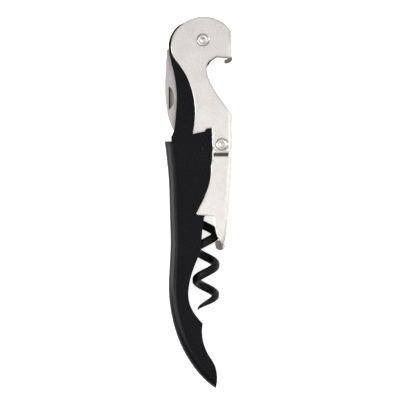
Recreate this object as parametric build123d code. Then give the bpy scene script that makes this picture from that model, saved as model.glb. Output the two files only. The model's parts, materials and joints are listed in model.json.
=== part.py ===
from build123d import *
from math import cos, pi, radians, sin, sqrt

# Double-hinged lever corkscrew, lying flat on its side with the lever closed.
# Lengths are in millimetres. While it is drawn, the origin is the head pivot:
# +X goes to the lever's spine side, +Y to the head, +Z through the thickness.

# ---- Driving dimensions ----

HANDLE_SHEET = 0.9
HANDLE_HALF = 5.6  # half the handle's outer width
HANDLE_INNER = HANDLE_HALF - HANDLE_SHEET
HANDLE_BEND = 2.4  # outer radius of the folded spine

LEVER_SHEET = 1.1
LEVER_INNER = HANDLE_HALF + 0.3
LEVER_HALF = LEVER_INNER + LEVER_SHEET
LEVER_BEND = 1.8  # outer radius of the folded spines
LEVER_BEND_INNER = LEVER_BEND - LEVER_SHEET
EAR_HALF = LEVER_INNER - 0.15  # outer face of the foot's ears
EAR_INNER = EAR_HALF - LEVER_SHEET

HEAD_PIVOT = (0.0, 0.0)
JOINT_PIVOT = (6.15, -33.6)
WORM_PIVOT = (1.0, -35.0)

RIVET_R = 1.25
RIVET_HEAD_R = 1.75
DIMPLE_R = 1.95
DIMPLE_DEPTH = 0.5
PIN_R = 0.8
WORM_PIN_R = 1.2
FIT = 0.03  # radial clearance of a piece that turns
SNUG = 0.015  # radial clearance of a piece that does not

BLADE_THICK = 1.2
SPACER_R = 3.0

WIRE_R = 1.38
COIL_R = 3.15  # from the worm's axis to the middle of the wire
COIL_PITCH = 9.9
COIL_PHASE_Y = -62.6  # height at which the wire is furthest to the right
COIL_TOP = -38.6
COIL_BOTTOM = -87.0
COIL_GROW = 5.0  # length over which the shank opens out into the coil
GRIND_ANGLE = radians(30)  # slope of the sharpened end
HUB_R = 2.2
HUB_HALF = 3.3

BIG = 200.0  # well past the tool


# ---- Helpers ----


def slab(face, low, high):
    """The flat outline, as thick as from one height to another."""
    return extrude(Pos(0, 0, low) * face, high - low, dir=(0, 0, 1))


def both_sides(face, low, high):
    """The same slab in the front plate and in the back plate."""
    return slab(face, low, high) + slab(face, -high, -low)


def box(x0, x1, y0, y1, half):
    """A box through the middle plane, reaching half to the front and to the back."""
    centre = Pos((x0 + x1) / 2, (y0 + y1) / 2, 0)
    return centre * Box(x1 - x0, y1 - y0, 2 * half)


def disc(centre, radius, low, high):
    """A round bar along Z."""
    return Pos(centre[0], centre[1], (low + high) / 2) * Cylinder(radius, high - low)


def ring(centre, outer, inner, low, high):
    """A tube along Z."""
    return disc(centre, outer, low, high) - disc(centre, inner, low - 1, high + 1)


def polar(radius, degrees, centre=HEAD_PIVOT):
    """A point at a distance and a direction from a pivot."""
    angle = radians(degrees)
    return (centre[0] + radius * cos(angle), centre[1] + radius * sin(angle))


def outline(*edges):
    """The face inside a closed run of edges."""
    return make_face(Wire(list(edges)))


def edges_along(solid, points, half):
    """The solid's edges at the heights +half and -half that pass through the points."""
    found = []
    for edge in solid.edges():
        middle = edge @ 0.5
        if abs(abs(middle.Z) - half) > 1e-3:
            continue
        for x, y in points:
            if edge.distance_to(Vector(x, y, middle.Z)) < 0.02:
                found.append(edge)
                break
    return found


def rivet(centre, half):
    """A rivet with a low domed head at each end, both inside the plates' faces."""
    peak = half - 0.05
    seat = half - DIMPLE_DEPTH + 0.02
    bar = disc(centre, RIVET_R, -seat, seat)
    head = disc(centre, RIVET_HEAD_R, seat - 0.001, peak)
    head = fillet(head.edges().group_by(Axis.Z)[-1], 0.3)
    return bar + head + mirror(head, Plane.XY)


# ---- Handle ----

spine_points = [
    (4.15, -112.4),
    (0.75, -109.75),
    (-3.65, -104.55),
    (-7.8, -96.8),
    (-10.1, -89.0),
    (-11.05, -81.0),
    (-10.7, -71.0),
    (-10.5, -65.5),
    (-10.75, -56.0),
    (-11.0, -46.5),
    (-11.65, -38.8),
    (-12.35, -33.2),
]
neck_left_points = [
    (-10.25, -31.2),
    (-9.15, -28.2),
    (-8.85, -25.4),
    (-8.45, -19.0),
    (-8.8, -13.8),
    (-9.8, -8.7),
    (-11.0, -3.4),
    (-10.95, -0.4),
    (-10.15, 1.8),
    (-8.5, 4.15),
    (-6.35, 5.5),
    (-3.4, 5.9),
]
belly_points = [
    (3.0, -38.0),
    (1.6, -50.0),
    (-0.35, -63.2),
    (-0.8, -67.4),
    (-3.0, -73.6),
    (-4.45, -79.0),
    (-4.7, -82.8),
    (-3.8, -86.5),
    (-2.3, -89.0),
    (-0.1, -91.6),
]
hook_points = [
    (-0.1, -91.6),
    (-0.3, -94.2),
    (0.25, -98.1),
    (1.95, -102.0),
    (3.6, -104.6),
    (4.6, -109.2),
    (4.15, -112.4),
]
SHOULDER_Y = -32.6

neck_right_points = [
    (3.2, -6.0),
    (0.9, -9.5),
    (0.1, -17.0),
    (0.9, -24.5),
    (3.0, -28.8),
]

handle_face = outline(
    Spline(spine_points),
    Line(spine_points[-1], (-12.3, SHOULDER_Y)),
    Line((-12.3, SHOULDER_Y), (-10.2, SHOULDER_Y)),
    Line((-10.2, SHOULDER_Y), neck_left_points[0]),
    Spline(neck_left_points),
    ThreePointArc(neck_left_points[-1], (6.8, 0.2), neck_right_points[0]),
    Spline(neck_right_points),
    Line(neck_right_points[-1], belly_points[0]),
    Spline(belly_points),
    Spline(hook_points),
)

# The space inside the fold, open along the belly.
inner_spine = [(x + HANDLE_SHEET, y) for x, y in spine_points[1:]]
hollow_face = outline(
    Spline(inner_spine),
    Line(inner_spine[-1], (-11.6, -20)),
    Line((-11.6, -20), (BIG, -20)),
    Line((BIG, -20), (BIG, -114.5)),
    Line((BIG, -114.5), (7.6, -114.5)),
    Line((7.6, -114.5), inner_spine[0]),
)

handle = slab(handle_face, -HANDLE_HALF, HANDLE_HALF)
spine_edges = edges_along(handle, [(-11.0, -46.5)], HANDLE_HALF)
handle = fillet(spine_edges, HANDLE_BEND)
hollow = slab(hollow_face, -HANDLE_INNER, HANDLE_INNER)
hollow_edges = edges_along(hollow, [(-11.0 + HANDLE_SHEET, -46.5)], HANDLE_INNER)
hollow = fillet(hollow_edges, HANDLE_BEND - HANDLE_SHEET)
handle -= hollow
handle -= box(-20, 20, SHOULDER_Y, 20, HANDLE_INNER)

BLADE_STOP = polar(5.6, 101)
SPRING_PINS = [(-3.6, -24.6), (-3.2, -29.4)]
SPRING_PIN_R = 0.6
handle -= disc(HEAD_PIVOT, RIVET_R + SNUG, -10, 10)
handle -= disc(WORM_PIVOT, WORM_PIN_R + SNUG, -10, 10)
handle -= disc(BLADE_STOP, PIN_R + SNUG, -10, 10)
for pin in SPRING_PINS:
    handle -= disc(pin, SPRING_PIN_R + SNUG, -10, 10)

# ---- Foil blade and what holds it ----

SHOULDER_R = 11.4  # the lever's head turns inside this radius
EYE_R = 4.0  # the blade's round end, about the head pivot
blade_back_points = [
    (-11.75, -2.95),
    (-12.1, -10.0),
    (-12.3, -15.3),
    (-12.0, -20.6),
    (-11.0, -25.6),
    (-9.25, -29.4),
]
cutting_edge_points = [
    (-9.25, -29.4),
    (-7.4, -24.6),
    (-5.9, -18.0),
    (-4.3, -11.6),
    (-2.9, -7.6),
    polar(EYE_R, 250),
]
blade_face = outline(
    Spline([polar(EYE_R, 195), (-5.0, -4.3), polar(SHOULDER_R, 226)]),
    RadiusArc(polar(SHOULDER_R, 226), polar(SHOULDER_R, 194), SHOULDER_R),
    Line(polar(SHOULDER_R, 194), blade_back_points[0]),
    Spline(blade_back_points),
    Spline(cutting_edge_points),
    ThreePointArc(polar(EYE_R, 250), polar(EYE_R, 60), polar(EYE_R, 195)),
)
blade = slab(blade_face, -BLADE_THICK / 2, BLADE_THICK / 2)
blade -= disc(HEAD_PIVOT, RIVET_R + FIT, -2, 2)

# A nail nick pressed into the front near the back edge. Its floor slopes down to the left.
NICK = (-11.1, -18.6)
NICK_WIDTH = 2.0
NICK_HEIGHT = 7.8
NICK_SLOPE = 22
nick_face = outline(
    Line((NICK[0], NICK[1] - NICK_HEIGHT / 2), (NICK[0], NICK[1] + NICK_HEIGHT / 2)),
    ThreePointArc(
        (NICK[0], NICK[1] + NICK_HEIGHT / 2),
        (NICK[0] + NICK_WIDTH, NICK[1]),
        (NICK[0], NICK[1] - NICK_HEIGHT / 2),
    ),
)
nick_edge = Pos(NICK[0] + NICK_WIDTH, NICK[1], BLADE_THICK / 2)
above_nick_floor = nick_edge * Rot(0, -NICK_SLOPE, 0) * Pos(0, 0, 2) * Box(9, 9, 4)
blade -= slab(nick_face, -BLADE_THICK / 2 + 0.15, 2) & above_nick_floor

# Serrations ground into the front of the curved edge.
SERRATIONS = 9
SERRATION_R = 0.62
for number in range(SERRATIONS):
    step = number / (SERRATIONS - 1)
    x = -7.55 + 2.55 * step ** 0.9
    y = -25.2 + 11.0 * step
    blade -= Pos(x, y, BLADE_THICK / 2 + 0.15) * Rot(0, 90, 20) * Cylinder(SERRATION_R, 2.2)

blade_spacer = ring(HEAD_PIVOT, SPACER_R, RIVET_R + FIT, BLADE_THICK / 2 + 0.05, HANDLE_INNER - 0.03)
blade_stop = disc(BLADE_STOP, PIN_R, -HANDLE_HALF, HANDLE_HALF)

# A flat spring lies between the neck's walls, with its free end under the blade's round end.
SPRING_HALF = 1.6
spring_face = outline(
    Spline([(-4.6, -30.6), (-4.6, -24.0), (-2.4, -14.0), (-0.75, -4.5)]),
    Line((-0.75, -4.5), (0.15, -4.25)),
    Spline([(0.15, -4.25), (-1.3, -14.0), (-2.4, -24.0), (-2.2, -30.6)]),
    Line((-2.2, -30.6), (-4.6, -30.6)),
)
blade_spring = slab(spring_face, -SPRING_HALF, SPRING_HALF)
for pin in SPRING_PINS:
    blade_spring -= disc(pin, SPRING_PIN_R + SNUG, -3, 3)
spring_pins = Part() + [disc(pin, SPRING_PIN_R, -HANDLE_HALF, HANDLE_HALF) for pin in SPRING_PINS]

# ---- Upper lever arm ----

HEAD_SPINE_X = 9.5
LEVER_SPINE_X = 9.6
TONGUE_END_Y = -36.3
NOTCH_LOW = (8.7, -23.0)  # where the cap notch meets the lower spine
SLOT_TOP = -30.2  # the foot's ears come out through a slot in the spine below this

# The heel is round about the joint, so that the foot's top edge passes it.
HEEL_R = 3.55
heel_x = LEVER_SPINE_X - JOINT_PIVOT[0]
heel_y = JOINT_PIVOT[1] - TONGUE_END_Y
heel_top = (LEVER_SPINE_X, JOINT_PIVOT[1] - sqrt(HEEL_R**2 - heel_x**2))
heel_bottom = (JOINT_PIVOT[0] + sqrt(HEEL_R**2 - heel_y**2), TONGUE_END_Y)

notch_points = [
    (4.5, -5.25),
    (3.0, -6.2),
    (1.6, -7.4),
    (1.2, -9.2),
    (1.5, -11.4),
    (3.2, -15.3),
    (5.8, -19.2),
    NOTCH_LOW,
]
neck_edge_points = [
    (-3.25, -30.25),
    (-2.65, -26.0),
    (-2.5, -23.0),
    (-2.75, -20.0),
    (-3.8, -15.3),
    (-6.2, -10.0),
    (-8.0, -7.5),
    (-9.75, -4.9),
    (-10.3, -1.9),
    (-9.6, 1.55),
]
upper_face = outline(
    ThreePointArc(neck_edge_points[-1], (0.0, 7.5), (8.0, 4.1)),
    Line((8.0, 4.1), (9.35, 2.6)),
    Line((9.35, 2.6), (HEAD_SPINE_X, -0.5)),
    Line((HEAD_SPINE_X, -0.5), (HEAD_SPINE_X, -5.6)),
    Line((HEAD_SPINE_X, -5.6), (7.6, -5.6)),
    Line((7.6, -5.6), notch_points[0]),
    Spline(notch_points),
    Line(NOTCH_LOW, (LEVER_SPINE_X, -24.4)),
    Line((LEVER_SPINE_X, -24.4), heel_top),
    RadiusArc(heel_top, heel_bottom, HEEL_R),
    Line(heel_bottom, (5.9, TONGUE_END_Y)),
    Spline([(5.9, TONGUE_END_Y), (3.7, -35.2), (3.0, -33.4)], tangents=[(-1, 0), (0, 1)]),
    Line((3.0, -33.4), (2.95, -28.35)),
    Line((2.95, -28.35), (1.1, -28.55)),
    Line((1.1, -28.55), (0.6, -29.45)),
    Line((0.6, -29.45), neck_edge_points[0]),
    Spline(neck_edge_points),
)
upper = slab(upper_face, -LEVER_HALF, LEVER_HALF)
upper_bends = edges_along(upper, [(HEAD_SPINE_X, -3.0), (LEVER_SPINE_X, -30.0)], LEVER_HALF)
upper = fillet(upper_bends, LEVER_BEND)


def lever_hollow(spine_x, low_y, high_y):
    """The space between the plates, rounded where it meets the inside of a spine."""
    space = box(-BIG, spine_x - LEVER_SHEET, low_y, high_y, LEVER_INNER)
    corners = space.edges().filter_by(Axis.Y).sort_by(Axis.X)[-2:]
    return fillet(corners, LEVER_BEND_INNER)


upper -= lever_hollow(HEAD_SPINE_X, -6.4, 20)
upper -= box(-BIG, BIG, -23.0, -6.0, LEVER_INNER)
upper -= box(-BIG, BIG, 2.6, 20, LEVER_INNER)
upper -= lever_hollow(LEVER_SPINE_X, -40, -22.9)
upper -= box(7.0, BIG, -40, SLOT_TOP, EAR_HALF + 0.08)

# The cap lifter is the head spine's end, turned in towards the notch.
LIFTER_HALF = 3.4
lifter_face = outline(
    Line((HEAD_SPINE_X, -4.6), (HEAD_SPINE_X, -5.6)),
    Spline([(HEAD_SPINE_X, -5.6), (8.7, -7.0), (7.5, -7.35)], tangents=[(0, -1), (-1, 0)]),
    ThreePointArc((7.5, -7.35), (6.9, -6.65), (7.5, -6.15)),
    Spline([(7.5, -6.15), (8.15, -5.85), (8.38, -5.2)], tangents=[(1, 0), (0, 1)]),
    Line((8.38, -5.2), (8.38, -4.6)),
    Line((8.38, -4.6), (HEAD_SPINE_X, -4.6)),
)
upper += slab(lifter_face, -LIFTER_HALF, LIFTER_HALF)

for pivot, radius in ((HEAD_PIVOT, RIVET_R + FIT), (JOINT_PIVOT, RIVET_R + SNUG)):
    upper -= disc(pivot, radius, -10, 10)
    upper -= disc(pivot, DIMPLE_R, LEVER_HALF - DIMPLE_DEPTH, 10)
    upper -= disc(pivot, DIMPLE_R, -10, DIMPLE_DEPTH - LEVER_HALF)

head_rivet = rivet(HEAD_PIVOT, LEVER_HALF)
joint_rivet = rivet(JOINT_PIVOT, LEVER_HALF)
washer = ring(HEAD_PIVOT, 4.2, RIVET_R + FIT, HANDLE_HALF + 0.03, LEVER_INNER - 0.03)
joint_spacer = ring(JOINT_PIVOT, 2.2, RIVET_R + SNUG, 0.05 - EAR_INNER, EAR_INNER - 0.05)

# ---- Lower lever arm, the foot ----

FOOT_TOP = -37.4
foot_spine_points = [
    (9.65, -38.7),
    (9.5, -41.5),
    (9.2, -46.0),
    (8.8, -51.5),
    (8.3, -58.0),
    (7.85, -62.5),
    (7.1, -66.4),
]
toe_points = [
    (6.1, -66.4),
    (5.9, -65.4),
    (4.9, -63.8),
    (4.2, -61.9),
    (3.75, -58.5),
    (3.6, -56.9),
]
wing_points = [
    (-1.9, -55.4),
    (-1.2, -54.0),
    (0.1, -51.5),
    (1.3, -48.6),
    (2.1, -46.0),
    (2.6, -43.0),
    (2.65, -40.6),
]
foot_face = outline(
    Line((8.5, FOOT_TOP), foot_spine_points[0]),
    Spline(foot_spine_points),
    Line(foot_spine_points[-1], toe_points[0]),
    Spline(toe_points),
    Line(toe_points[-1], (-1.3, -56.35)),
    ThreePointArc((-1.3, -56.35), (-1.95, -56.05), wing_points[0]),
    Spline(wing_points),
    Spline([wing_points[-1], (2.75, -39.7), (3.1, -38.8), (3.2, FOOT_TOP)]),
    Line((3.2, FOOT_TOP), (8.5, FOOT_TOP)),
)
foot = slab(foot_face, -LEVER_HALF, LEVER_HALF)
foot_bend = edges_along(foot, [foot_spine_points[2]], LEVER_HALF)
foot = fillet(foot_bend, LEVER_BEND)

inner_foot_spine = [(x - LEVER_SHEET, y) for x, y in foot_spine_points]
foot_space_face = outline(
    Line((inner_foot_spine[0][0], -30), inner_foot_spine[0]),
    Spline(inner_foot_spine),
    Line(inner_foot_spine[-1], (5.8, -70)),
    Line((5.8, -70), (-20, -70)),
    Line((-20, -70), (-20, -30)),
    Line((-20, -30), (inner_foot_spine[0][0], -30)),
)
foot_space = slab(foot_space_face, -LEVER_INNER, LEVER_INNER)
foot_space_bend = edges_along(foot_space, [inner_foot_spine[2]], LEVER_INNER)
foot -= fillet(foot_space_bend, LEVER_BEND_INNER)

# The ears are stepped inwards, so that they fit inside the upper arm's tongue.
EAR_R = 2.7
EAR_LEFT = JOINT_PIVOT[0] - EAR_R
EAR_RIGHT = JOINT_PIVOT[0] + EAR_R
EAR_TOP = (JOINT_PIVOT[0], JOINT_PIVOT[1] + EAR_R)
STEP_TOP = FOOT_TOP + 0.15
ear_face = outline(
    ThreePointArc((EAR_LEFT, JOINT_PIVOT[1]), EAR_TOP, (EAR_RIGHT, JOINT_PIVOT[1])),
    Line((EAR_RIGHT, JOINT_PIVOT[1]), (8.2, STEP_TOP)),
    Line((8.2, STEP_TOP), (EAR_LEFT, STEP_TOP)),
    Line((EAR_LEFT, STEP_TOP), (EAR_LEFT, JOINT_PIVOT[1])),
)
foot += both_sides(ear_face, EAR_INNER, EAR_HALF)

# In each step the sheet slopes out from the ear to the plate.
step_profile = [
    (STEP_TOP, EAR_HALF),
    (FOOT_TOP - 0.15, LEVER_HALF),
    (FOOT_TOP - 1.4, LEVER_HALF),
    (FOOT_TOP - 1.4, LEVER_INNER),
    (STEP_TOP - 0.6, EAR_INNER),
    (STEP_TOP, EAR_INNER),
]
step_face = make_face(Polyline([(EAR_LEFT, y, z) for y, z in step_profile], close=True))
step = extrude(step_face, 8.2 - EAR_LEFT, dir=(1, 0, 0))
foot += step + mirror(step, Plane.XY)
for side in (-1, 1):
    foot -= Pos(JOINT_PIVOT[0], JOINT_PIVOT[1], side * EAR_INNER) * Cylinder(RIVET_R + FIT, 5)

# The spine's end curls in to a blunt lip that hooks under the bottle's rim.
LIP_HALF = 4.6
curl_points = [
    (6.9, -67.1),
    (5.6, -67.75),
    (4.3, -67.1),
    (3.95, -65.7),
    (4.6, -64.7),
]
lip_face = outline(
    Line((7.1, -66.4), curl_points[0]),
    Spline(curl_points, tangents=[(-0.6, -0.8), (0.8, 0.6)]),
    Spline([curl_points[-1], (5.6, -64.7), (6.3, -65.3)]),
    Line((6.3, -65.3), (6.0, -66.4)),
    Line((6.0, -66.4), (7.1, -66.4)),
)
foot += slab(lip_face, -LIP_HALF, LIP_HALF)

# ---- Worm ----


def coil_point(y):
    """The middle of the wire at a height: a shank that opens out into a helix."""
    turn = 2 * pi * (COIL_PHASE_Y - y) / COIL_PITCH
    opened = min(1.0, max(0.0, (COIL_TOP - y) / COIL_GROW))
    radius = COIL_R * opened * opened * (3 - 2 * opened)
    return Vector(WORM_PIVOT[0] + radius * cos(turn), y, radius * sin(turn))


SHANK_TOP = -36.4
COIL_STEPS = 68
coil_drop = (COIL_BOTTOM - COIL_TOP) / COIL_STEPS
shank = Line((WORM_PIVOT[0], SHANK_TOP, 0), (WORM_PIVOT[0], COIL_TOP, 0))
coil = Spline([coil_point(COIL_TOP + coil_drop * step) for step in range(COIL_STEPS + 1)])
wire_path = Wire([shank, coil])
wire_end = Plane(origin=wire_path @ 0, z_dir=wire_path % 0) * Circle(WIRE_R)
wire = sweep(wire_end, path=wire_path)

# The end is ground down to a point from three sides.
point = wire_path @ 1
along = wire_path % 1
for turn in (0, 120, 240):
    outward = Plane(origin=point, z_dir=along).x_dir.rotate(Axis((0, 0, 0), along), turn)
    slope = outward * cos(GRIND_ANGLE) + along * sin(GRIND_ANGLE)
    wire -= Plane(origin=point, z_dir=slope) * Pos(0, 0, 1.6) * Box(7, 7, 3.2)

hub = disc(WORM_PIVOT, HUB_R, -HUB_HALF, HUB_HALF)
hub -= disc(WORM_PIVOT, WORM_PIN_R + FIT, -10, 10)
hub -= Pos(WORM_PIVOT[0], SHANK_TOP - 5, 0) * Rot(90, 0, 0) * Cylinder(WIRE_R + SNUG, 10)
worm_pin = disc(WORM_PIVOT, WORM_PIN_R, -HANDLE_HALF, HANDLE_HALF)
worm_spacer = ring(WORM_PIVOT, 2.0, WORM_PIN_R + FIT, HUB_HALF + 0.05, HANDLE_INNER - 0.03)

# ---- Placing and writing ----

nodes = {
    "handle_channel": handle,
    "head_rivet": head_rivet,
    "blade_spacer_front": blade_spacer,
    "blade_spacer_back": mirror(blade_spacer, Plane.XY),
    "blade_stop_pin": blade_stop,
    "blade_spring": blade_spring,
    "spring_pins": spring_pins,
    "worm_pin": worm_pin,
    "worm_spacer_front": worm_spacer,
    "worm_spacer_back": mirror(worm_spacer, Plane.XY),
    "lever_washer_front": washer,
    "lever_washer_back": mirror(washer, Plane.XY),
    "upper_lever": upper,
    "joint_rivet": joint_rivet,
    "joint_spacer": joint_spacer,
    "lower_lever": foot,
    "foil_blade": blade,
    "worm_screw": wire,
    "worm_hub": hub,
}

# The row's origin is the middle of the underside of the whole tool.
whole = Compound(children=[Part() + node for node in nodes.values()]).bounding_box()
middle = whole.center()
shift = Pos(-middle.X, -middle.Y, LEVER_HALF)
for name, node in nodes.items():
    export_step(shift * node, f"parts/{name}.step")
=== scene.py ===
import json
from math import cos, pi, radians, sin

import bmesh
import bpy
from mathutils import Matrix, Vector


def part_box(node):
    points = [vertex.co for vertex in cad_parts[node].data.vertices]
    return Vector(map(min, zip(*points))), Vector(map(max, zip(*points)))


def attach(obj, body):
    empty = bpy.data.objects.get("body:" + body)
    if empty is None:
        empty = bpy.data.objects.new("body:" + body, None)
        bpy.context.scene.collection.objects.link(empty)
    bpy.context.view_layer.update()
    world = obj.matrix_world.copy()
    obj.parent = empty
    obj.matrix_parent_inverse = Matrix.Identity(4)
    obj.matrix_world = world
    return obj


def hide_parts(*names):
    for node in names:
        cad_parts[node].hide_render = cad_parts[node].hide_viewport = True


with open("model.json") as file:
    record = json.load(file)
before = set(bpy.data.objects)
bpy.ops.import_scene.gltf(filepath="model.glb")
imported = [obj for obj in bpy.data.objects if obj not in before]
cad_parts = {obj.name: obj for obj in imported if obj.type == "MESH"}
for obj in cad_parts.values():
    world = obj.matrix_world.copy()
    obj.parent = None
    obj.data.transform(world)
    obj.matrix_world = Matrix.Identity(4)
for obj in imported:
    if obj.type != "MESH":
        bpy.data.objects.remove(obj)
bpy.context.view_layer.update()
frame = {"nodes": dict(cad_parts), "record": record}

# Shapes are written in millimetres from the head rivet, on the tool's middle plane,
# and placed in the frame by this point.
rivet_low, rivet_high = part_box("head_rivet")
HEAD_PIVOT = (rivet_low + rivet_high) / 2
MM = 0.001


def place(x, y, z):
    return HEAD_PIVOT + Vector((x, y, z)) * MM


def pivot_of(node):
    """The middle of a CAD node, in millimetres from the head rivet."""
    low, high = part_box(node)
    middle = ((low + high) / 2 - HEAD_PIVOT) / MM
    return middle.x, middle.y


# ---- Materials ----

# Noise scales are in cells per metre. The widths of the painted edge tone and of the coat's worn
# edges are in edge radii, and each is full where the rounding has turned the surface's normal to
# the cosine named here.
CLOUD_SCALE = 160
GRAIN_SHADE = 0.86
PAINTED_EDGE_WIDTH = 2.6
PAINTED_EDGE_COSINE = 0.75
SHADED_PATCH_ROUGHNESS = 0.35
COAT_CLOUD_SCALE = 90
SCUFF_SCALE = 900
SCUFF_WIDTH = 1.6
SCUFF_COSINE = 0.88


class Nodes:
    """Short calls for building a material's node tree."""

    def __init__(self, name):
        self.material = bpy.data.materials.new(name)
        self.material.use_nodes = True
        self.tree = self.material.node_tree
        self.shader = self.tree.nodes["Principled BSDF"]

    def feed(self, socket, value):
        """Links another node's output to an input, or sets the input to a constant."""
        if isinstance(value, bpy.types.NodeSocket):
            self.tree.links.new(value, socket)
        else:
            socket.default_value = value

    def add(self, kind, **inputs):
        node = self.tree.nodes.new(kind)
        for key, value in inputs.items():
            self.feed(node.inputs[key.replace("_", " ")], value)
        return node

    def shade(self, **inputs):
        """Sets inputs of the surface shader."""
        for key, value in inputs.items():
            self.feed(self.shader.inputs[key.replace("_", " ")], value)

    def noise(self, scale, detail, stretch=(1, 1, 1)):
        """A noise in the piece's own coordinates, finer along the axes with more stretch."""
        where = self.add("ShaderNodeTexCoord").outputs["Object"]
        spot = self.add("ShaderNodeMapping", Vector=where, Scale=stretch).outputs[0]
        node = self.add("ShaderNodeTexNoise", Vector=spot, Scale=scale, Detail=detail)
        return node.outputs["Fac"]

    def ramp(self, value, start, end, first, last):
        """Maps value from start..end to first..last."""
        node = self.add("ShaderNodeMapRange", Value=value)
        node.inputs["From Min"].default_value = start
        node.inputs["From Max"].default_value = end
        node.inputs["To Min"].default_value = first
        node.inputs["To Max"].default_value = last
        return node.outputs[0]

    def mix(self, amount, first, second):
        """A colour between two others."""
        node = self.tree.nodes.new("ShaderNodeMix")
        node.data_type = "RGBA"
        inputs = {socket.identifier: socket for socket in node.inputs}
        self.feed(inputs["Factor_Float"], amount)
        self.feed(inputs["A_Color"], first)
        self.feed(inputs["B_Color"], second)
        return next(socket for socket in node.outputs if socket.identifier == "Result_Color")

    def math(self, operation, first, second):
        node = self.tree.nodes.new("ShaderNodeMath")
        node.operation = operation
        self.feed(node.inputs[0], first)
        self.feed(node.inputs[1], second)
        return node.outputs[0]

    def inside(self, low, high, soft):
        """1 inside a box given in millimetres from the head rivet, fading to 0 at its faces."""
        where = self.add("ShaderNodeTexCoord").outputs["Object"]
        split = self.add("ShaderNodeSeparateXYZ", Vector=where)
        result = 1.0
        for axis in range(3):
            start = HEAD_PIVOT[axis] + low[axis] * MM
            end = HEAD_PIVOT[axis] + high[axis] * MM
            rise = self.ramp(split.outputs[axis], start, start + soft * MM, 0.0, 1.0)
            fall = self.ramp(split.outputs[axis], end - soft * MM, end, 1.0, 0.0)
            result = self.math("MULTIPLY", result, self.math("MULTIPLY", rise, fall))
        return result

    def rounded(self, radius):
        """The surface's normal, as if its edges had this radius."""
        return self.add("ShaderNodeBevel", Radius=radius).outputs[0]

    def edge(self, radius, cosine):
        """Rises from 0 on flat areas to 1 where rounding has turned the normal to the cosine."""
        dot = self.tree.nodes.new("ShaderNodeVectorMath")
        dot.operation = "DOT_PRODUCT"
        self.feed(dot.inputs[0], self.rounded(radius))
        self.feed(dot.inputs[1], self.add("ShaderNodeNewGeometry").outputs["Normal"])
        return self.ramp(dot.outputs["Value"], 1.0, cosine, 0.0, 1.0)

    def bump(self, height, strength, distance, radius):
        """Bump on top of edges rounded by the given radius."""
        node = self.add("ShaderNodeBump", Height=height, Strength=strength, Distance=distance)
        self.feed(node.inputs["Normal"], self.rounded(radius))
        self.shade(Normal=node.outputs[0])


def metal(slot, dark, light, rough, radius, grain=(1, 1, 1), grain_scale=2500, painted_edge_tone=None, painted_shade_patches=()):
    """Metal with cloudy tone and fine grain, a painted edge tone along its edges, and boxes of
    painted shade.
    """
    n = Nodes(slot)
    cloud = n.noise(CLOUD_SCALE, 5)
    fine = n.noise(grain_scale, 3, grain)
    in_grain = [channel * GRAIN_SHADE for channel in light[:3]] + [1]
    tone = n.mix(n.ramp(cloud, 0.3, 0.7, 0.0, 1.0), dark, light)
    tone = n.mix(n.ramp(fine, 0.35, 0.65, 0.0, 0.35), tone, in_grain)
    # A tone painted along the rounded edges: painted shade on the nickel plates, a painted
    # highlight on the blade.
    if painted_edge_tone:
        tone = n.mix(n.edge(radius * PAINTED_EDGE_WIDTH, PAINTED_EDGE_COSINE), tone, painted_edge_tone)
    roughness = n.ramp(fine, 0.3, 0.7, rough - 0.05, rough + 0.06)
    # Each box gets painted shade, a darker tone broken by the cloud noise, and more roughness.
    for low, high, soft, shade_tone in painted_shade_patches:
        patch = n.inside(low, high, soft)
        cover = n.math("MULTIPLY", patch, n.ramp(cloud, 0.2, 0.8, 0.75, 1.0))
        tone = n.mix(cover, tone, shade_tone)
        roughness = n.math("ADD", roughness, n.math("MULTIPLY", patch, SHADED_PATCH_ROUGHNESS))
    n.shade(Base_Color=tone, Metallic=1.0, Roughness=roughness)
    n.bump(fine, 0.1, 0.00002, radius)
    return n.material


def coat(slot, dark, light, rough, shine, radius, scale, depth, worn=None):
    """A coating with a fine pebbled surface, rubbed along its edges where worn is given."""
    n = Nodes(slot)
    pebble = n.noise(scale, 3)
    cloud = n.noise(COAT_CLOUD_SCALE, 4)
    tone = n.mix(n.ramp(cloud, 0.35, 0.65, 0.0, 1.0), dark, light)
    if worn:
        scuffs = n.ramp(n.noise(SCUFF_SCALE, 6), 0.4, 0.75, 0.0, 0.8)
        rubbed = n.math("MULTIPLY", n.edge(radius * SCUFF_WIDTH, SCUFF_COSINE), scuffs)
        tone = n.mix(rubbed, tone, worn)
    roughness = n.ramp(pebble, 0.3, 0.7, rough - 0.06, rough + 0.06)
    n.shade(Base_Color=tone, Specular_IOR_Level=shine, Roughness=roughness)
    n.bump(pebble, 0.35, depth, radius)
    return n.material


# The plating is dull and carries painted shade where the sheet is bent in: the cap lifter, the
# foot's ears and its lip.
# Each patch of painted shade has a low and a high corner in millimetres, a soft border and a
# colour.
# Tones of painted shade for the recesses.
PAINTED_SHADE = (0.15, 0.132, 0.12, 1)
PAINTED_DEEP_SHADE = (0.035, 0.03, 0.027, 1)
shade_in_bends = [
    ((6.0, -8.0, -3.6), (10.0, -5.7, 3.6), 0.15, PAINTED_SHADE),
    ((3.0, -37.5, -6.6), (9.0, -36.2, 6.6), 0.25, PAINTED_DEEP_SHADE),
    ((3.2, -68.5, -5.2), (6.5, -64.0, 5.2), 0.3, PAINTED_SHADE),
]
# Painted shade in the blade's nail nick.
nail_nick_shade = [((-13.4, -24.0, -1.0), (-8.6, -14.6, 0.6), 0.04, PAINTED_SHADE)]

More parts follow.
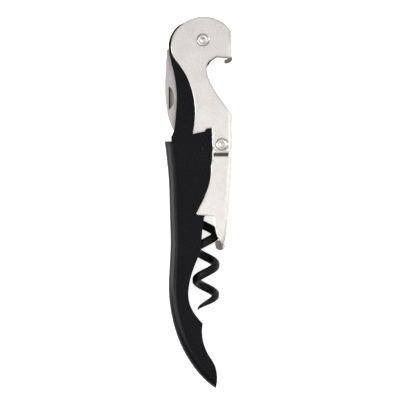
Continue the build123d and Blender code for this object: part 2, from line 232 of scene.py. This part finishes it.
METALS = {
    "satin_nickel": dict(
        dark=(0.66, 0.635, 0.61, 1),
        light=(0.73, 0.705, 0.685, 1),
        rough=0.3,
        radius=0.00045,
        # Painted shade: a darker tone along the plates' rounded edges.
        painted_edge_tone=(0.42, 0.405, 0.39, 1),
        painted_shade_patches=shade_in_bends,
    ),
    "rivet_steel": dict(
        dark=(0.62, 0.6, 0.575, 1),
        light=(0.70, 0.68, 0.655, 1),
        rough=0.32,
        radius=0.0001,
    ),
    "blade_steel": dict(
        dark=(0.43, 0.41, 0.405, 1),
        light=(0.50, 0.48, 0.475, 1),
        rough=0.3,
        radius=0.00008,
        grain=(30, 1, 1),
        grain_scale=400,
        # Painted highlight: a lighter tone along the blade's rounded edges.
        painted_edge_tone=(0.8, 0.78, 0.77, 1),
        painted_shade_patches=nail_nick_shade,
    ),
    "spring_steel": dict(
        dark=(0.30, 0.30, 0.31, 1),
        light=(0.40, 0.40, 0.41, 1),
        rough=0.38,
        radius=0.0001,
    ),
    "shim_brass": dict(
        dark=(0.50, 0.37, 0.17, 1),
        light=(0.62, 0.47, 0.24, 1),
        rough=0.36,
        radius=0.00005,
    ),
}
COATS = {
    "black_coat": dict(
        dark=(0.0028, 0.0025, 0.0038, 1),
        light=(0.0038, 0.0034, 0.005, 1),
        rough=0.26,
        shine=0.1,
        radius=0.0002,
        scale=3200,
        depth=0.00003,
        worn=(0.05, 0.05, 0.052, 1),
    ),
    "worm_coat": dict(
        dark=(0.006, 0.0055, 0.005, 1),
        light=(0.010, 0.009, 0.0085, 1),
        rough=0.42,
        shine=0.13,
        radius=0.0001,
        scale=2600,
        depth=0.00002,
    ),
}
finishes = {slot: metal(slot, **look) for slot, look in METALS.items()}
finishes |= {slot: coat(slot, **look) for slot, look in COATS.items()}

slot_of = {part["node"]: part["material_slot"] for part in frame["record"]["subparts"]}
for name, node in frame["nodes"].items():
    node.data.materials.clear()
    node.data.materials.append(finishes[slot_of[name]])

# ---- Pieces made here ----


def mesh_piece(name, points, faces, body, node, smooth_angle):
    """A mesh from points in millimetres, standing for a CAD node and riding on its body."""
    mesh = bpy.data.meshes.new(name)
    mesh.from_pydata([place(*point) for point in points], [], faces)
    work = bmesh.new()
    work.from_mesh(mesh)
    bmesh.ops.recalc_face_normals(work, faces=work.faces)
    work.to_mesh(mesh)
    work.free()
    mesh.shade_smooth()
    mesh.set_sharp_from_angle(angle=radians(smooth_angle))
    mesh.materials.append(finishes[slot_of[node]])
    piece = bpy.data.objects.new(name, mesh)
    bpy.context.scene.collection.objects.link(piece)
    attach(piece, body)
    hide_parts(node)


def tube(rings):
    """The points and faces that join equal rings, with a cap at each end."""
    count = len(rings[0])
    points = [point for ring in rings for point in ring]
    last = len(points) - count
    faces = []
    for start in range(0, last, count):
        for i in range(count):
            j = (i + 1) % count
            faces.append((start + i, start + j, start + count + j, start + count + i))
    faces.append(tuple(reversed(range(count))))
    faces.append(tuple(range(last, last + count)))
    return points, faces


# The worm: a wire wound to the right, grooved along its outer side and drawn to a point.
WORM = pivot_of("worm_hub")
WIRE_R = 1.38
COIL_R = 3.15
COIL_PITCH = 9.9
COIL_PHASE_Y = -62.6
COIL_TOP = -38.6
COIL_GROW = 5.0
WIRE_START = -36.4
WIRE_END = -87.0
POINT_HEIGHT = 5.4
POINT_CURVE = 0.62  # below 1, so the wire thins slowly at first and quickly at the tip
POINT_LEAN = 0.35  # how far the tip moves in towards the worm's axis, in wire radii
POINT_R = 0.03
GROOVE_DEPTH = 0.13
GROOVE_ANGLE = 0.5  # half the groove's width, in radians around the wire
WIRE_STEPS = 620
RING_POINTS = 28
STRAIGHT = 0.05  # below this coil radius the wire counts as running along the axis


def coil_point(y):
    """The middle of the wire at a height: a shank that opens out into a helix."""
    turn = 2 * pi * (COIL_PHASE_Y - y) / COIL_PITCH
    opened = min(1.0, max(0.0, (COIL_TOP - y) / COIL_GROW))
    radius = COIL_R * opened * opened * (3 - 2 * opened)
    return Vector((WORM[0] + radius * cos(turn), y, radius * sin(turn)))


def wire_ring(y):
    """A ring of points around the wire, with the groove on the side away from the axis."""
    centre = coil_point(y)
    along = (coil_point(y - 0.02) - coil_point(y + 0.02)).normalized()
    outward = centre - Vector((WORM[0], y, 0))
    if outward.length < STRAIGHT:
        outward = Vector((1, 0, 0))
    outward = (outward - along * outward.dot(along)).normalized()
    side = along.cross(outward)
    taper = min(1.0, max(0.0, (y - WIRE_END) / POINT_HEIGHT)) ** POINT_CURVE
    centre -= outward * WIRE_R * (1 - taper) * POINT_LEAN
    ring = []
    for k in range(RING_POINTS):
        angle = 2 * pi * k / RING_POINTS
        across = min(angle, 2 * pi - angle) / GROOVE_ANGLE
        groove = GROOVE_DEPTH * max(0.0, 1 - across * across)
        radius = max(POINT_R, (WIRE_R - groove) * taper)
        ring.append(centre + outward * radius * cos(angle) + side * radius * sin(angle))
    return ring


wire_heights = [
    WIRE_START + (WIRE_END - WIRE_START) * step / WIRE_STEPS for step in range(WIRE_STEPS + 1)
]
wire_rings = [wire_ring(y) for y in wire_heights]
mesh_piece("worm_wire", *tube(wire_rings), "worm", "worm_screw", 60)

# Each rivet has a low crowned head with a rounded shoulder, a ring and a small boss.
RIVET_STEPS = 48
lever_low, lever_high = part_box("upper_lever")
LEVER_FACE = (lever_high.z - lever_low.z) / 2 / MM
RIVET_FACE = LEVER_FACE - 0.05
rivet_head = [
    (1.25, LEVER_FACE - 0.48),
    (1.86, LEVER_FACE - 0.46),
    (1.9, LEVER_FACE - 0.3),
    (1.8, RIVET_FACE - 0.12),
    (1.6, RIVET_FACE - 0.05),
    (1.4, RIVET_FACE - 0.04),
    (1.22, RIVET_FACE - 0.06),
    (1.06, RIVET_FACE - 0.1),
    (0.92, RIVET_FACE - 0.1),
    (0.8, RIVET_FACE - 0.07),
    (0.62, RIVET_FACE - 0.02),
    (0.3, RIVET_FACE),
    (0.02, RIVET_FACE),
]
rivet_profile = [(radius, -z) for radius, z in reversed(rivet_head)] + rivet_head


def circle(centre, radius, z):
    turns = [2 * pi * k / RIVET_STEPS for k in range(RIVET_STEPS)]
    return [(centre[0] + radius * cos(turn), centre[1] + radius * sin(turn), z) for turn in turns]


for node, body in (("head_rivet", "handle"), ("joint_rivet", "lever")):
    rivet_rings = [circle(pivot_of(node), radius, z) for radius, z in rivet_profile]
    mesh_piece(node + "_turned", *tube(rivet_rings), body, node, 40)

# ---- Floor, light and camera ----

FLOOR_SIZE = 4
FLOOR_GAP = 0.0002  # keeps the floor clear of the tool's lowest faces
FLOOR_GLOW = 0.75
WORLD_LIGHT = 0.33

bpy.ops.mesh.primitive_plane_add(size=FLOOR_SIZE, location=(0, 0, -FLOOR_GAP))
floor = bpy.context.object
floor.name = "floor"

# The floor glows where the camera or a reflection sees it, so that it is as pale as studio
# paper there. The glow itself adds no diffuse light to the tool from below.
floor_paint = Nodes("floor_paint")
path = floor_paint.add("ShaderNodeLightPath")
seen = floor_paint.ramp(path.outputs["Is Camera Ray"], 0, 1, 0.0, FLOOR_GLOW)
mirrored = floor_paint.ramp(path.outputs["Is Glossy Ray"], 0, 1, 0.0, FLOOR_GLOW)
floor_paint.shade(
    Base_Color=(0.9, 0.9, 0.9, 1),
    Roughness=0.9,
    Emission_Color=(1, 1, 1, 1),
    Emission_Strength=floor_paint.math("ADD", seen, mirrored),
)
floor.data.materials.append(floor_paint.material)

world = bpy.data.worlds.new("studio")
bpy.context.scene.world = world
world.use_nodes = True
background = world.node_tree.nodes["Background"]
background.inputs["Color"].default_value = (1, 1, 1, 1)
background.inputs["Strength"].default_value = WORLD_LIGHT


def panel(name, location, aim, width, height, power):
    """A soft rectangular light."""
    light = bpy.data.lights.new(name, "AREA")
    light.shape = "RECTANGLE"
    light.size = width
    light.size_y = height
    light.energy = power
    lamp = bpy.data.objects.new(name, light)
    lamp.location = location
    lamp.rotation_euler = (Vector(aim) - Vector(location)).to_track_quat("-Z", "Y").to_euler()
    bpy.context.scene.collection.objects.link(lamp)


panel("overhead", (0, -0.22, 0.9), (0, -0.22, 0), 0.7, 0.9, 0.3)
panel("left_strip", (-0.45, 0.0, 0.03), (0, 0, 0.007), 0.1, 0.9, 3.9)
panel("left_upper", (-0.44, -0.12, 0.66), (0, -0.04, 0), 0.12, 0.75, 2.7)
panel("right_strip", (0.5, 0.0, 0.1), (0, 0, 0), 0.12, 0.9, 0.4)
panel("right_upper", (0.4, 0.0, 0.7), (0, 0, 0), 0.15, 0.9, 0.8)
panel("head_end", (0, 1.0, 0.55), (0, 0, 0), 0.9, 0.5, 1.6)
panel("tail_end", (0, -1.0, 0.55), (0, 0, 0), 0.9, 0.5, 1.6)

VIEW_WIDTH = 0.1294  # of the tool's middle plane that the picture shows
VIEW_CENTRE = Vector((0.0004, 0.0009, 0.007))
CAMERA_DISTANCE = 1.6
SENSOR_WIDTH = 36

camera_data = bpy.data.cameras.new("camera")
camera_data.sensor_width = SENSOR_WIDTH
camera_data.lens = SENSOR_WIDTH * CAMERA_DISTANCE / VIEW_WIDTH
camera_data.clip_start = 0.05
camera = bpy.data.objects.new("camera", camera_data)
camera.location = VIEW_CENTRE + Vector((0, 0, CAMERA_DISTANCE))
bpy.context.scene.collection.objects.link(camera)
bpy.context.scene.camera = camera
bpy.context.scene.view_settings.view_transform = "Standard"
